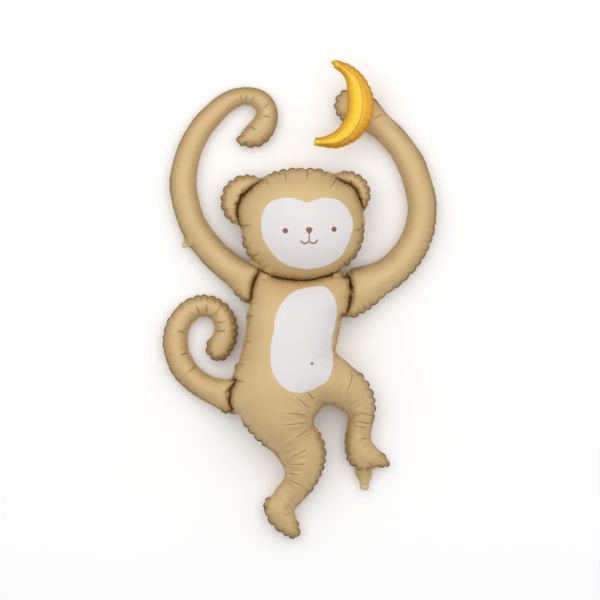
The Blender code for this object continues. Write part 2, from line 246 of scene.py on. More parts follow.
def cut_sheet(solid, fine, folds):
    """One flat sheet of foil as fine triangles, with lines along its rims, seams and folds."""
    points = []
    edges = []

    def line(p, closed):
        n0 = len(points)
        points.extend(map(tuple, p))
        edges.extend((n0 + k, n0 + k + 1) for k in range(len(p) - 1))
        if closed:
            edges.append((n0 + len(p) - 1, n0))

    along = ALONG_STEP * fine
    grid_step = OPEN_STEP * fine
    rows_deep = np.array(ROWS) * fine
    rims = [smooth_through(p, min(along, 0.06 * len(p) * along), True) for p in solid["rims"]]
    seams = [smooth_through(p, along, True) for p in solid["seams"]]
    welds = [smooth_through(p, along, False) for p in solid["welds"]]
    for p in rims + seams:
        line(p, True)
    for p in welds + folds:
        line(p, False)
    walls = np.vstack(seams + welds)

    rows = []
    for p, closed in [(p, True) for p in seams] + [(p, False) for p in welds]:
        ahead = np.roll(p, -1, axis=0) - np.roll(p, 1, axis=0)
        if not closed:
            ahead[0] = p[1] - p[0]
            ahead[-1] = p[-1] - p[-2]
        side = np.c_[-ahead[:, 1], ahead[:, 0]]
        side /= np.linalg.norm(side, axis=1)[:, None]
        between = (p + np.roll(p, -1, axis=0)) / 2
        for k, depth in enumerate(rows_deep):
            base = between if k % 2 == 0 else p
            if not closed and k % 2 == 0:
                base = between[:-1]
            for sign in (1, -1):
                rows.append(np.c_[base + sign * depth * side[:len(base)],
                                  np.full(len(base), depth)])
    rows = np.vstack(rows)
    rows = rows[within(rows[:, :2], seams)]
    _, d = nearest(walls, rows)
    rows = rows[d > 0.93 * rows[:, 2]]
    if folds:
        valleys = []
        for p in folds:
            ahead = np.gradient(p, axis=0)
            side = np.c_[-ahead[:, 1], ahead[:, 0]] / np.linalg.norm(ahead, axis=1)[:, None]
            for deep in FOLD_ROWS:
                for sign in (1, -1):
                    valleys.append(np.c_[p + sign * deep * side, np.full(len(p), deep)])
        valleys = np.vstack(valleys)
        creases = np.vstack(folds)
        valleys = valleys[within(valleys[:, :2], seams)]
        _, d = nearest(creases, valleys)
        valleys = valleys[d > 0.9 * valleys[:, 2]]
        _, d = nearest(walls, valleys)
        valleys = valleys[d > 0.0012]
        _, d = nearest(creases, rows)
        rows = np.vstack([valleys, rows[d > 0.0010]])

    lo, hi = rims[0].min(axis=0), rims[0].max(axis=0)
    for p in rims:
        lo, hi = np.minimum(lo, p.min(axis=0)), np.maximum(hi, p.max(axis=0))
    mesh_rows = []
    for k, y in enumerate(np.arange(lo[1], hi[1], grid_step * 0.866)):
        xs = np.arange(lo[0] + (k % 2) * grid_step / 2, hi[0], grid_step)
        mesh_rows.append(np.c_[xs, np.full(len(xs), y)])
    grid = np.vstack(mesh_rows)
    grid = grid[within(grid, seams)]
    _, d = nearest(walls, grid)
    grid = grid[d > rows_deep[-1] + 0.7 * grid_step]
    if folds:
        _, d = nearest(creases, grid)
        grid = grid[d > 0.0010]

    kept = [tuple(p) for p in points]
    free = np.vstack([rows[:, :2], grid])
    tree = KDTree(len(free))
    for k, p in enumerate(free):
        tree.insert((p[0], p[1], 0), k)
    tree.balance()
    gone = np.zeros(len(free), bool)
    reach = np.r_[np.clip(0.55 * rows[:, 2], 0.0006 * fine, 0.0026 * fine),
                  np.full(len(grid), 0.0030 * fine)]
    for k, p in enumerate(free):
        if not gone[k]:
            for _, other, _ in tree.find_range((p[0], p[1], 0), reach[k]):
                if other > k:
                    gone[other] = True
    kept += [tuple(p) for p in free[~gone]]

    made = delaunay_2d_cdt([Vector(p) for p in kept], edges, [], 0, 1e-6, False)
    plan = np.array([tuple(p) for p in made[0]])
    tris = np.array([t for t in made[2] if len(t) == 3])
    tris = tris[within(plan[tris].mean(axis=1), rims)]
    used = np.unique(tris)
    index = np.full(len(plan), -1)
    index[used] = np.arange(len(used))
    plan = plan[used]
    tris = index[tris]
    a, b, c = plan[tris[:, 0]], plan[tris[:, 1]], plan[tris[:, 2]]
    turn = (b[:, 0] - a[:, 0]) * (c[:, 1] - a[:, 1]) - (b[:, 1] - a[:, 1]) * (c[:, 0] - a[:, 0])
    tris[turn < 0] = tris[turn < 0][:, ::-1]
    return plan, tris, rims, seams, welds


def solve(plan, tris, fixed, values, load, drain):
    """A smooth field over the plan: load raises it, drain pulls it down to nothing."""
    n = len(plan)
    pull = []
    for k in range(3):
        i, j, o = tris[:, k], tris[:, k - 2], tris[:, k - 1]
        u = plan[i] - plan[o]
        v = plan[j] - plan[o]
        area = np.maximum(np.abs(u[:, 0] * v[:, 1] - u[:, 1] * v[:, 0]), 1e-14)
        pull.append((i, j, 0.5 * np.sum(u * v, axis=1) / area))
    i = np.concatenate([p[0] for p in pull])
    j = np.concatenate([p[1] for p in pull])
    w = np.concatenate([p[2] for p in pull])
    mass = np.bincount(tris.ravel(), np.repeat(area / 6, 3), n)
    free = ~fixed

    def apply(x):
        d = w * (x[i] - x[j])
        return np.bincount(i, d, n) - np.bincount(j, d, n) + drain * mass * x

    x = np.where(fixed, values, 0.0)
    r = np.where(free, load * mass - apply(x), 0.0)
    diag = np.maximum(np.bincount(i, w, n) + np.bincount(j, w, n) + drain * mass, 1e-9)
    z = r / diag
    p = z.copy()
    rz = r @ z
    first = rz
    for _ in range(3000):
        if rz < 1e-12 * first:
            break
        q = np.where(free, apply(p), 0.0)
        step = rz / (p @ q)
        x = x + step * p
        r = r - step * q
        z = r / diag
        old = rz
        rz = r @ z
        p = z + (rz / old) * p
    return x


def seam_height(solid, plan):
    """Height of the seam over the plan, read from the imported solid."""
    out = np.zeros(len(plan))
    co, mid = solid["co"], solid["mid"]
    for k, (x, y) in enumerate(plan):
        spot, _, face, _ = solid["tree"].find_nearest((x, y, 0))
        t = solid["top"][face]
        w = 1 / (np.hypot(co[t, 0] - x, co[t, 1] - y) + 1e-4) ** 2
        out[k] = (w @ mid[t]) / w.sum()
    return out


def traced_folds(seams):
    """The photograph's folds as fine lines on the flat sheet, clear of its seams."""
    walls = np.vstack(seams)
    out = []
    for fold in FOLDS:
        p = np.array([at(*q) for q in fold])
        p = smooth_through(p, FOLD_STEP, False)
        step = p[-1] - p[-2]
        p = np.vstack([p, [p[-1] + step * (k + 1) for k in range(int(FOLD_ON * len(p)))]])
        _, d = nearest(walls, p)
        p = p[(d > FOLD_CLEAR) & within(p, seams)]
        if len(p) > 2:
            out.append(p)
    return out


def blow_up(name, fine, folded):
    """A balloon's fine sheet with the heights of its two sides before it creases."""
    solid = read_solid(name)
    solid["welds"] = [p for p in solid["welds"] if np.linalg.norm(p[0] - p[-1]) > SHORTEST_WELD]
    folds = traced_folds(solid["seams"]) if folded else []
    plan, tris, rims, seams, welds = cut_sheet(solid, fine, folds)
    walls = np.vstack(seams + welds)
    _, gap = nearest(walls, plan)
    shut = ~within(plan, seams) | (gap < ON_LINE)
    u = solve(plan, tris, shut, np.zeros(len(plan)), 2.0, FLATTER)
    half = np.where(shut, 0.0, np.sqrt(np.maximum(u, 0)))
    rough = seam_height(solid, plan)
    soft = 1 / SEAM_SOFT ** 2
    none = np.zeros(len(plan), bool)
    mid = solve(plan, tris, none, np.zeros(len(plan)), rough * soft, soft)
    return {"plan": plan, "tris": tris, "shut": shut, "half": half, "mid": mid, "depth": gap,
            "rims": rims, "seams": seams, "welds": welds, "folds": folds}


def wall_facts(m):
    """Each point of the seams and welds: its run, outward side, bend and scallop."""
    rng = np.random.default_rng(7)
    spots, runs, sides, turns, beats = [], [], [], [], []
    for p in m["seams"]:
        ahead = np.roll(p, -3, axis=0) - p
        behind = p - np.roll(p, 3, axis=0)
        cross = behind[:, 0] * ahead[:, 1] - behind[:, 1] * ahead[:, 0]
        size = np.linalg.norm(ahead, axis=1) * np.linalg.norm(behind, axis=1)
        span = np.linalg.norm(ahead + behind, axis=1)
        bend = np.arcsin(np.clip(cross / size, -1, 1)) / (span / 2)
        bend = np.convolve(np.r_[bend[-4:], bend, bend[:4]], np.ones(9) / 9, "valid")
        area = np.sum(p[:, 0] * np.roll(p[:, 1], -1) - np.roll(p[:, 0], -1) * p[:, 1])
        run = (ahead + behind) / span[:, None]
        long = len(p) * np.linalg.norm(p[1] - p[0])
        short, tall = m["pitch"] * np.array(SCALLOP)
        marks = np.r_[0, np.cumsum(rng.uniform(short, tall, int(long / short) + 2))]
        marks = marks[marks < long - short / 2]
        marks = np.r_[marks, long]
        way = np.linspace(0, long, len(p), endpoint=False)
        spots.append(p)
        runs.append(run)
        sides.append(np.c_[run[:, 1], -run[:, 0]] * np.sign(area))
        turns.append(bend * np.sign(area))
        beats.append(np.interp(way, marks, np.arange(len(marks))))
    for p in m["welds"]:
        run = np.gradient(p, axis=0)
        spots.append(p)
        runs.append(run / np.linalg.norm(run, axis=1)[:, None])
        sides.append(np.zeros_like(p))
        turns.append(np.full(len(p), np.nan))
        beats.append(np.zeros(len(p)))
    return [np.concatenate(part) for part in (spots, runs, sides, turns, beats)]


def spare_foil(m):
    """Share of foil to spare along the seam at each point, and how it starts to pucker."""
    spots, runs, sides, turns, beats = wall_facts(m)
    near, d = nearest(spots, m["plan"])
    turn = turns[near]
    width = np.clip(m["mid"], *LIMB_WIDTH)
    weld = np.isnan(turn)
    turn = np.where(weld, 0.0, turn)
    tight = (turn * 0.5 * width - LOOSE_TURN) / TIGHT_TURN
    where = spots[near]
    for px, py, reach, gain in RUFFLES:
        x, y = at(px, py)
        away = np.hypot(where[:, 0] - x, where[:, 1] - y) / (reach * PIXEL)
        tight = np.clip(tight, 0, 1) + gain * np.exp(-away ** 2)
    tight = np.clip(tight, LEAST_TIGHT, 1) * m["ruffle"]
    full = tight * MOST_SPARE
    bulge = (full + BASE_SPARE) * np.exp(-(d / (0.22 * width + 0.006)) ** 2)
    t = d / (0.35 * width)
    pinch = np.clip(-turn * 0.40 * width - 0.03, 0, 0.8 * MOST_SPARE) * t * np.exp(1 - t)
    pinch *= m["ruffle"]
    x, y = at(*CHIN)
    away = np.hypot(where[:, 0] - x, where[:, 1] - y) / CHIN_REACH
    calm = 1 - 0.8 * np.exp(-away ** 2)
    spare = np.where(weld, WELD_SPARE * calm * np.exp(-(d / WELD_REACH) ** 2), bulge + pinch)
    out = np.where(m["shut"], 0.0, d)
    lobe = np.abs(np.sin(np.pi * beats[near])) * 1.6 - 1.0
    deep = np.where(weld, 0.0, tight * m["pitch"] * SCALLOP_DEEP)
    start = np.zeros((len(d), 3))
    start[:, :2] = sides[near] * (deep * lobe * np.exp(-(out / 0.008) ** 2))[:, None]
    tilt = 0.5 * deep * np.sin(np.pi * beats[near]) * np.exp(-(out / 0.006) ** 2)
    reach = 0.006 + 0.03 * width
    swell = 0.4 * deep * lobe * np.exp(-((out - reach) / reach) ** 2) * (~m["shut"])
    # weight of the painted shade along the seam, from its bend
    m["outer"] = np.clip(0.5 + 0.12 * turn, 0, 1)
    m["beat"] = np.abs(np.sin(np.pi * beats[near]))
    m["pucker"] = np.where(weld, 0.0, np.clip(1.4 * tight, 0, 1))
    return spare, runs[near], start, tilt, swell


def scatter(index, values, n):
    """Sum of three-part values at each point."""
    return np.stack([np.bincount(index, values[:, k], n) for k in range(3)], axis=1)


def crease(x, tris, rest, pinned, facing, floor, ceiling):
    """Let a blown-up sheet with foil to spare find its own creases."""
    n = len(x)
    e = np.vstack([tris[:, [0, 1]], tris[:, [1, 2]], tris[:, [2, 0]]])
    far = np.concatenate([tris[:, 2], tris[:, 0], tris[:, 1]])
    key = np.sort(e, axis=1)
    order = np.lexsort((key[:, 1], key[:, 0]))
    key, far = key[order], far[order]
    same = np.r_[(key[1:] == key[:-1]).all(axis=1), False]
    first = np.r_[True, ~same[:-1]]
    i, j = key[first].T
    pair = np.nonzero(same)[0]
    bi, bj = far[pair], far[pair + 1]
    length = rest(i, j)
    across = np.linalg.norm(x[bj] - x[bi], axis=1)
    weight = (~pinned).astype(float)
    many = np.bincount(i, minlength=n) + np.bincount(j, minlength=n)
    bends = np.maximum(np.bincount(bi, minlength=n) + np.bincount(bj, minlength=n), 1)
    x0 = x.copy()
    rng = np.random.default_rng(4)
    x = x + rng.normal(0, GRAIN, x.shape) * weight[:, None]
    old = x.copy()
    push = np.zeros_like(x)
    for k in range(ROUNDS):
        if k % 6 == 0:
            a, b, c = x[tris[:, 0]], x[tris[:, 1]], x[tris[:, 2]]
            area = np.cross(b - a, c - a)
            out = sum(scatter(tris[:, q], area, n) for q in range(3))
            size = np.linalg.norm(out, axis=1)
            push = PRESSURE * out / np.maximum(size, 1e-12)[:, None]
        move = (x - old) * KEPT_SPEED + push
        old = x
        x = x + move * weight[:, None]
        d = x[j] - x[i]
        size = np.linalg.norm(d, axis=1)
        d *= (0.5 * (size - length) / np.maximum(size, 1e-9))[:, None]
        x = x + PULL * (scatter(i, d, n) - scatter(j, d, n)) / many[:, None] * weight[:, None]
        d = x[bj] - x[bi]
        size = np.linalg.norm(d, axis=1)
        d *= (0.5 * (size - across) / np.maximum(size, 1e-9))[:, None]
        x = x + STIFFNESS * (scatter(bi, d, n) - scatter(bj, d, n)) / bends[:, None] \
            * weight[:, None]
        x += TETHER * (x0 - x)
        x[:, 2] = np.clip(x[:, 2], floor, ceiling)
        over, under = facing
        close = np.maximum(SHEETS_APART - (x[over, 2] - x[under, 2]), 0) / 2
        x[over, 2] += close
        x[under, 2] -= close
    off = x - x0
    size = np.linalg.norm(off, axis=1)
    return x0 + off * np.minimum(1, MOST_MOVE / np.maximum(size, 1e-9))[:, None]


def press_folds(m, x, tris, own):
    """Press a narrow valley into both sheets along each traced fold and dark crease."""
    n = len(x)
    a, b, c = x[tris[:, 0]], x[tris[:, 1]], x[tris[:, 2]]
    area = np.cross(b - a, c - a)
    out = sum(scatter(tris[:, q], area, n) for q in range(3))
    out /= np.maximum(np.linalg.norm(out, axis=1), 1e-12)[:, None]
    spots = np.vstack(m["folds"])
    taper = np.concatenate([np.clip(2.0 * (1 - t), 0, 1) * np.clip(0.35 + 5 * t, 0, 1)
                            for t in (np.linspace(0, 1, len(p)) for p in m["folds"])])
    near, d = nearest(spots, m["plan"])
    valley = taper[near] * np.exp(-d / FOLD_WIDE) * (~m["shut"])
    off = (d - LIP_OFF * FOLD_WIDE) / (LIP_WIDE * FOLD_WIDE)
    lips = taper[near] * np.exp(-off ** 2) * (~m["shut"])
    lines = np.vstack([smooth_through([at(*p) for p in line], LINE_STEP, False)
                       for line in CREASES])
    _, d = nearest(lines, m["plan"])
    dent = np.exp(-(d / CREASE_WIDE) ** 2) * (~m["shut"])
    # the folds' mask, which also sets their painted shade in the material
    m["fold"] = np.maximum(valley, dent)
    deep = np.minimum(CREASE_DEEP, CREASE_SHARE * m["half"])
    push = FOLD_DEEP * (valley - LIP_HIGH * lips) + deep * dent
    return x - push[own][:, None] * out


def foil_balloon(name, fine, folded, floor, ceiling_box, ceiling):
    """One balloon: both sheets of foil as a closed mesh with its pattern attributes."""
    m = blow_up(name, fine, folded)
    m["pitch"], m["ruffle"] = (1.0, 1.0) if folded else BANANA_RUFFLE
    plan, tris, shut = m["plan"], m["tris"], m["shut"]
    n = len(plan)
    low = np.where(shut, np.arange(n), -1)
    open_at = np.nonzero(~shut)[0]
    low[open_at] = n + np.arange(len(open_at))
    own = np.concatenate([np.arange(n), open_at])
    side = np.concatenate([np.ones(n), -np.ones(len(open_at))])
    x = np.c_[plan[own], m["mid"][own] + side * m["half"][own]]
    lid = np.full(len(x), NO_LID)
    if ceiling_box is not None:
        lo, hi = ceiling_box
        under = ((x[:, 0] > lo[0] - LID_PAST) & (x[:, 0] < hi[0] + LID_PAST)
                 & (x[:, 1] > lo[1] - LID_PAST) & (x[:, 1] < hi[1] + LID_PAST))
        lid[under] = ceiling
    x[:, 2] = np.clip(x[:, 2], floor, lid)

    spare, run, start, tilt, swell = spare_foil(m)
    tab = shut & (m["depth"] > TAB_DEEP)
    start = start[own]
    start[:, 2] += tilt[own] + side * swell[own]
    x = x + start * (~tab)[own][:, None]
    x[:, 2] = np.clip(x[:, 2], floor, lid)

    def rest(i, j):
        d = x[j] - x[i]
        size = np.linalg.norm(d, axis=1)
        a, b = own[i], own[j]
        along = (run[a] + run[b]) / 2
        share = np.abs(d[:, 0] * along[:, 0] + d[:, 1] * along[:, 1]) / np.maximum(size, 1e-9)
        grow = (1 + (spare[a] + spare[b]) / 2) ** 2 - 1
        return size * np.sqrt(1 + grow * np.clip(share, 0, 1) ** 2)

    only = np.vstack([tris, low[tris[~shut[tris].all(axis=1)]][:, ::-1]])
    facing = (open_at, low[open_at])
    x = crease(x, only, rest, tab[own], facing, floor, lid)
    if folded:
        x = press_folds(m, x, only, own)

    x[:, 2] *= min(1.0, MOST_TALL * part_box(name)[1][2] / x[:, 2].max())
    top = x[:n].copy()
    bottom = x[low].copy()
    rim = shut
    top[rim, 2] += FOIL_EDGE / 2
    bottom[rim, 2] -= FOIL_EDGE / 2
    bottom[:, 2] = np.maximum(bottom[:, 2], floor)
    return m, build_mesh(name, m, top, bottom)


def build_mesh(name, m, top, bottom):
    """Both sheets and the cut edge between them as one closed mesh."""
    plan, tris = m["plan"], m["tris"]
    n = len(plan)
    e = np.vstack([tris[:, [0, 1]], tris[:, [1, 2]], tris[:, [2, 0]]])
    codes = {(a, b) for a, b in e.tolist()}
    rim = [(a, b) for a, b in codes if (b, a) not in codes]
    rim.sort()
    faces = [tuple(t) for t in tris.tolist()]
    faces += [(c + n, b + n, a + n) for a, b, c in tris.tolist()]
    faces += [(b, a, a + n, b + n) for a, b in rim]
    mesh = bpy.data.meshes.new(name + "_foil")
    mesh.from_pydata(np.vstack([top, bottom]).tolist(), [], faces)
    mesh.update()
    mesh.shade_smooth()
    put(mesh, "front", np.r_[np.ones(n), np.zeros(n)])
    put(mesh, "depth", np.tile(m["depth"], 2))
    edge = np.vstack(m["rims"])
    _, d = nearest(edge, plan)
    put(mesh, "edge", np.tile(d, 2))
    m["tab"] = (m["shut"] & (m["depth"] > TAB_DEEP)).astype(float)
    for fact in ("beat", "pucker", "outer", "fold", "tab"):
        put(mesh, fact, np.tile(m.get(fact, np.zeros(n)), 2))
    flat = np.zeros((2 * n, 3))
    aim = np.array(at(FRAME_PX / 2, FRAME_PX / 2))
    nearer = CAMERA_HIGH / (CAMERA_HIGH + OUTLINE_HIGH - top[:, 2])
    seen = aim + (top[:, :2] - aim) * nearer[:, None]
    m["seen"] = seen
    flat[:, :2] = np.tile(seen, (2, 1))
    put(mesh, "seen", flat)
    obj = bpy.data.objects.new(name + "_foil", mesh)
    bpy.context.scene.collection.objects.link(obj)
    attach(obj, "root")
    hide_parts(name)
    return obj


def put(mesh, name, values):
    """Store a value or a place at every corner point, for the material to read."""
    values = np.asarray(values, np.float32)
    kind = "FLOAT_VECTOR" if values.ndim == 2 else "FLOAT"
    layer = mesh.attributes.new(name, kind, "POINT")
    layer.data.foreach_set("vector" if values.ndim == 2 else "value", values.ravel())


# sharp folds, traced in the photograph's pixels: from the seam's side inwards
FOLDS = (
    ((308.9, 406.9), (296.3, 395.6)), ((313.6, 398.5), (305.8, 390.2)),
    ((307.6, 413.8), (285.3, 411.6)), ((307.0, 421.6), (284.4, 423.2)),
    ((308.9, 427.9), (293.2, 438.3)), ((307.4, 447.6), (290.0, 456.2)),
    ((305.2, 462.6), (286.9, 463.4)), ((286.3, 472.8), (298.9, 473.4)),
    ((286.5, 478.3), (304.2, 486.0)), ((349.7, 368.2), (350.6, 378.0), (345.0, 393.4)),
    ((371.7, 415.3), (356.0, 411.3)), ((370.6, 423.4), (352.9, 420.7)),
    ((353.5, 426.3), (367.6, 427.0)), ((367.5, 438.7), (359.5, 438.2)),
    ((372.0, 466.3), (367.8, 461.8)), ((199.4, 314.6), (195.8, 305.4)),
    ((206.2, 313.8), (206.8, 303.8)), ((214.3, 316.2), (220.3, 307.0)),
    ((215.6, 323.3), (226.6, 321.8)), ((216.2, 331.3), (225.7, 331.0)),
    ((188.6, 334.0), (177.5, 331.0)), ((190.9, 352.0), (180.6, 355.4)),
    ((197.6, 364.4), (187.3, 373.6)), ((266.4, 177.6), (269.4, 187.4)),
    ((284.6, 172.9), (287.4, 184.0)), ((307.7, 171.5), (307.1, 181.0)),
    ((335.7, 180.7), (329.4, 189.2)), ((240.8, 227.0), (252.3, 225.9)),
    ((364.4, 231.1), (354.0, 230.1)), ((251.8, 257.0), (260.3, 253.5)),
    ((359.8, 258.6), (352.6, 254.5)), ((242.0, 101.6), (240.0, 94.9)),
    ((246.4, 101.3), (245.7, 93.8)), ((251.3, 101.7), (254.3, 95.3)),
    ((261.2, 109.5), (269.4, 103.1)), ((261.2, 115.9), (271.0, 117.3)),
    ((248.8, 125.0), (256.1, 130.2)), ((382.8, 114.0), (373.4, 119.4)),
    ((275.0, 277.2), (262.0, 271.3), (256.5, 267.0)),
    ((326.0, 277.0), (338.0, 272.3), (346.0, 268.0)),
    ((240.8, 198.5), (236.5, 195.0)), ((244.5, 193.0), (242.0, 188.0)),
    ((238.6, 204.0), (234.0, 205.5)), ((348.5, 186.5), (351.5, 181.0)),
    ((355.0, 191.5), (359.5, 188.0)), ((360.0, 199.5), (364.5, 198.0)),
    ((346.0, 291.0), (353.0, 288.5)), ((235.6, 361.0), (228.5, 357.0)),
    ((247.0, 316.0), (254.0, 317.2)), ((245.0, 341.0), (251.0, 342.2)),
    ((240.0, 363.5), (246.5, 365.0)), ((237.5, 380.0), (245.0, 381.5)))

CHIN = (301, 278)  # middle of the smooth weld under the chin

# creases that carry the inner welds on across their open ends, pressed in and darkened with
# painted shade
CREASES = (((269.0, 274.7), (263.5, 271.8), (258.3, 269.2)),
           ((331.0, 275.2), (337.0, 271.6), (344.5, 268.9)),
           ((243.2, 195.2), (240.9, 199.0), (240.0, 203.0)),
           ((344.3, 269.8), (345.9, 273.2), (347.3, 277.0)),
           ((351.0, 287.5), (351.3, 291.0), (350.3, 295.0)))

# where a seam ruffles more or less than its bend says: pixel, reach in pixels, gain
RUFFLES = (
    (432, 235, 16, 0.45), (416, 268, 18, 0.55), (387, 294, 18, 0.55), (361, 308, 12, 0.45),
    (235, 92, 14, -0.8), (251, 88, 16, -1.0), (270, 98, 15, -1.0), (278, 121, 14, -1.0),
    (240, 425, 13, 0.5), (254, 444, 13, 0.5), (268, 515, 12, 0.6), (280, 530, 10, 0.6),
    (325, 458, 16, 0.6), (373, 400, 16, 0.6), (384, 462, 8, 0.4), (350, 454, 9, 0.3),
    (228, 288, 14, 0.15), (247, 330, 20, 0.15), (190, 120, 20, 0.10),
    (363, 225, 16, -0.35), (360, 250, 14, -0.35))

# the two printed white areas, traced in the photograph's pixels
FACE = ((261, 222), (264, 210), (272, 201), (287, 197.5), (298, 199.5), (307, 202.5),
        (316, 199.5), (325, 197.5), (340, 201), (350, 213), (353, 228), (345, 250),
        (338, 259), (325, 266), (309, 269), (293, 267), (280, 261), (270, 250), (263, 238))
BELLY = ((300, 289), (318, 286), (327, 288), (335, 299), (337, 312), (335, 325), (332, 340),
         (333, 360), (332, 370), (328, 380), (318, 387), (309, 391), (300, 393), (290, 391),
         (280, 384), (272, 370), (270.5, 355), (271, 343), (274, 330), (275, 318), (280, 306),
         (289, 295))
BANANA_LINE = ((341, 65), (352, 73), (358, 80), (361.5, 90), (363, 100), (362.5, 110),
               (360, 120), (355, 130), (347, 138), (338, 143), (325, 145))


def depth_in(outline, plan):
    """How far inside a printed outline each point is; less than nothing outside it."""
    closed = [at(*p) for p in outline] + [at(*outline[0])]
    loop = smooth_through(closed, LINE_STEP, True)
    _, d = nearest(loop, plan)
    return np.where(within(plan, [loop]), d, -d)


class Value:
    """A node's output that takes part in sums, so that a pattern reads as a formula."""

    def __init__(self, tree, socket=None):
        self.tree = tree
        self.socket = socket

    def node(self, kind, settings, inputs, out=0):
        """Any node: its settings first, then its sockets' values or links."""
        made = self.tree.nodes.new("ShaderNode" + kind)
        for name, value in settings.items():
            setattr(made, name, value)
        for name, value in inputs.items():
            if isinstance(value, Value):
                self.tree.links.new(value.socket, made.inputs[name])
            else:
                made.inputs[name].default_value = value
        return Value(self.tree, made.outputs[out])

    def maths(self, how, *values):
        return self.node("Math", {"operation": how}, dict(enumerate(values)))

    def __add__(self, other):
        return self.maths("ADD", self, other)

    def __radd__(self, other):
        return self.maths("ADD", other, self)

    def __sub__(self, other):
        return self.maths("SUBTRACT", self, other)

    def __rsub__(self, other):
        return self.maths("SUBTRACT", other, self)

    def __mul__(self, other):
        return self.maths("MULTIPLY", self, other)

    def __rmul__(self, other):
        return self.maths("MULTIPLY", other, self)

    def __truediv__(self, other):
        return self.maths("DIVIDE", self, other)

    def __rtruediv__(self, other):
        return self.maths("DIVIDE", other, self)

    def __pow__(self, other):
        return self.maths("POWER", self, other)

    def size(self):
        return self.maths("ABSOLUTE", self)

    def most(self, other):
        return self.maths("MAXIMUM", self, other)

    def rise(self, low, high):
        """Nothing below low, one above high, smooth between; falls if high is less."""
        if high < low:
            return 1 - self.rise(high, low)
        return self.node("MapRange", {"interpolation_type": "SMOOTHSTEP"},
                         {"Value": self, "From Min": low, "From Max": high})

    def attribute(self, name, out="Fac"):
        return self.node("Attribute", {"attribute_name": name}, {}, out)

    def parts(self):
        return [self.node("SeparateXYZ", {}, {0: self}, k) for k in range(3)]

    def noise(self, where, scale, detail=2.0, roughness=0.5):
        return self.node("TexNoise", {}, {"Vector": where, "Scale": scale, "Detail": detail,
                                          "Roughness": roughness}, "Fac")


def paint(value, share, first, second):
    """A colour that goes from the first to the second as share goes from 0 to 1."""
    return value.node("Mix", {"data_type": "RGBA"}, {0: share, 6: first, 7: second}, 2)


def colour(red, green, blue):
    """A photograph's colour, 0 to 255, as the linear colour that a material takes."""
    def linear(c):
        c /= 255
        return c / 12.92 if c <= 0.04045 else ((c + 0.055) / 1.055) ** 2.4
    return (linear(red), linear(green), linear(blue), 1.0)


# colours of the tan foil: low and high of its slow change; painted shade over narrow limbs, at
# the seam, near a weld, in its groove, in the creases beyond it and in a fold; grey flange with
# painted shade on the rim; on the flat tabs
TAN_LOW = colour(207, 177, 126)
TAN_HIGH = colour(213, 183, 133)
TAN_NARROW_SHADE = colour(184, 152, 102)
TAN_SEAM_SHADE = colour(172, 139, 86)
WELD_SIDE_SHADE = colour(146, 106, 50)
WELD_GROOVE_SHADE = colour(112, 76, 24)
CREASE_SHADE = colour(112, 76, 26)
FOLD_SHADE = colour(124, 88, 38)
RIM_GREY_AND_SHADE = colour(84, 80, 70)
TAB_TAN = colour(216, 187, 136)
# colours of the print on it
WHITE_PRINT = colour(221, 217, 217)
EYE_PRINT = colour(138, 82, 66)
NOSE_PRINT = colour(150, 84, 52)
MOUTH_PRINT = colour(140, 84, 62)
NAVEL_PRINT = colour(125, 92, 86)
# colours of the banana: at the seam, its orange print with painted shade; in the middle, outside
# the ridge, of its slow change, at both tips, on the ridge line, and painted shade on the rim
YELLOW_SEAM_PRINT_AND_SHADE = colour(224, 158, 8)
YELLOW = colour(238, 192, 30)
YELLOW_SIDE = colour(228, 160, 26)
YELLOW_CLOUD = colour(240, 178, 40)
YELLOW_TIP = colour(240, 202, 52)
RIDGE_PRINT = colour(192, 140, 76)
YELLOW_DASH_SHADE = colour(170, 122, 40)

# the print's small features: each spot and its radius in the photograph's pixels
EYES = (((285.3, 230.7), 2.7), ((334.1, 229.3), 2.6))
NAVEL = ((312.0, 363.5), 1.35)
NOSE = (309.2, 230.4)
NOSE_SIZE = (3.2, 3.3)  # half its width and half its height
NOSE_TAPER = 0.38
STEM_END = 240.2        # the pixel row where the line below the nose ends
SMILES = (((300.9, 240.7), (304.7, 243.4), (309.1, 239.8)),
          ((309.1, 239.8), (313.2, 243.3), (317.1, 240.4)))
TIPS = (((334.6, 63.0), 3.0), ((317.2, 142.6), 3.0))


def material(name):
    """A new material with its surface node and a value to start formulas from."""
    made = bpy.data.materials.new(name)
    made.use_nodes = True
    skin = made.node_tree.nodes["Principled BSDF"]
    return made, skin, Value(made.node_tree)


def feed(value, skin, inputs):
    """Gives the surface its values or links."""
    for name, source in inputs.items():
        if isinstance(source, Value):
            value.tree.links.new(source.socket, skin.inputs[name])
        else:
            skin.inputs[name].default_value = source


def dot(x, y, spot, radius):
    """One inside a small round spot of the print, nothing outside it."""
    cx, cy = at(*spot)
    away = ((x - cx) ** 2.0 + (y - cy) ** 2.0) ** 0.5
    return away.rise(radius * PIXEL + 0.0006, radius * PIXEL - 0.0006)


def smile(x, y, first, middle, last):
    """One along a thin printed arc through three places, nothing off it."""
    a, b, c = (np.array(at(*p)) for p in (first, middle, last))
    centre = np.linalg.solve(2 * np.array([b - a, c - a]), [b @ b - a @ a, c @ c - a @ a])
    radius = np.linalg.norm(a - centre)
    away = ((x - centre[0]) ** 2.0 + (y - centre[1]) ** 2.0) ** 0.5
    ring = (away - radius).size().rise(0.0024, 0.0010)
    beyond = (b - (a + c) / 2) / np.linalg.norm(b - (a + c) / 2)
    chord = float(beyond @ a)
    return ring * (x * beyond[0] + y * beyond[1] - chord).rise(-0.0010, 0.0006)


# where the flat hanging tab and the filling tail show, for their plain paint
LUGS = (((186.3, 243.6), 5.4), ((362.6, 477.5), 7.8), ((364.0, 486.5), 5.0))


